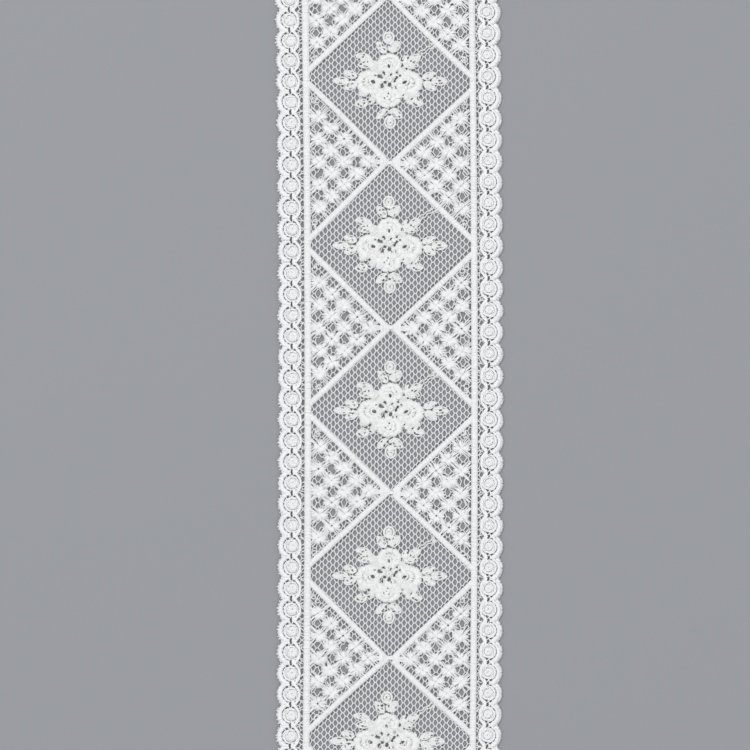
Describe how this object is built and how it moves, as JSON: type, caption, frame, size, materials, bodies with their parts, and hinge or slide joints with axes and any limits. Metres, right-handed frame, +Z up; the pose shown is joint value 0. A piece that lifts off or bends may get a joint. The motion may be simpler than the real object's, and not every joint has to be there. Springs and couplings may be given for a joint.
{
  "type": "embroidered tulle lace trim",
  "caption": "White embroidered tulle lace band, flat cut length: rose sprays in trellis diamonds, star fillings and ring-and-scallop edges.",
  "frame": {"origin": "middle of the underside of the strip, at the centre of its bounding box", "axes": "+X across the band, +Y along its length towards the top of the picture, +Z up out of the stitched face"},
  "size_m": [0.0741, 0.2784, 0.0022],
  "materials": {
    "net": "fine matt white polyester tulle thread",
    "line": "white satin stitch with a soft sheen",
    "edging": "white satin stitch with a soft sheen",
    "star": "white embroidery thread, soft sheen",
    "rose": "white to faintly ivory satin stitch with a soft sheen"
  },
  "bodies": {
    "root": {"tulle_ground": "net", "trellis_lines": "line", "edging_left": "edging", "edging_right": "edging", "star_filling_left_1": "star", "star_filling_left_2": "star", "star_filling_left_3": "star", "star_filling_left_4": "star", "star_filling_left_5": "star", "star_filling_left_6": "star", "star_filling_right_1": "star", "star_filling_right_2": "star", "star_filling_right_3": "star", "star_filling_right_4": "star", "star_filling_right_5": "star", "star_filling_right_6": "star", "rose_spray_1": "rose", "rose_spray_2": "rose", "rose_spray_3": "rose", "rose_spray_4": "rose", "rose_spray_5": "rose"}
  },
  "joints": []
}
